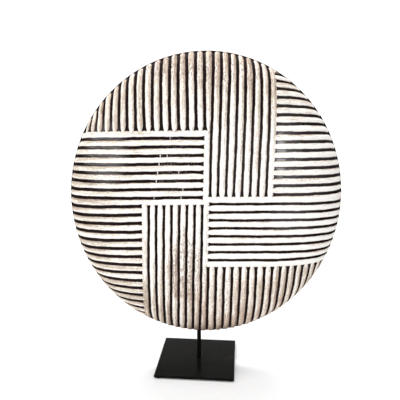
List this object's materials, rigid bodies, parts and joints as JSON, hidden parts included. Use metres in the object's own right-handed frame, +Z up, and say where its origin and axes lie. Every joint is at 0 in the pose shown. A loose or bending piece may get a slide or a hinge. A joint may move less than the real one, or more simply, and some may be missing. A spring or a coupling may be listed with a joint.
{
  "type": "bamileke shield on stand",
  "caption": "Round carved wooden shield with a turning pattern of pale ribs and black grooves, held upright by a steel rod on a square black steel plate.",
  "frame": {"origin": "on the ground, straight below the middle of the shield's outline, and as far back as the rod", "axes": "+Z up, +X to the right seen from the carved side, and the carved face looks along -Y"},
  "size_m": [0.503, 0.1624, 0.5979],
  "materials": {
    "painted_wood": "ribs worn off-white over brown wood, grooves black",
    "black_steel": "satin black paint",
    "black_rubber": "matt"
  },
  "bodies": {
    "root": {"shield": "painted_wood", "stand_rod": "black_steel", "stand_plate": "black_steel", "foot_pad_front_left": "black_rubber", "foot_pad_front_right": "black_rubber", "foot_pad_back_left": "black_rubber", "foot_pad_back_right": "black_rubber"}
  },
  "joints": []
}
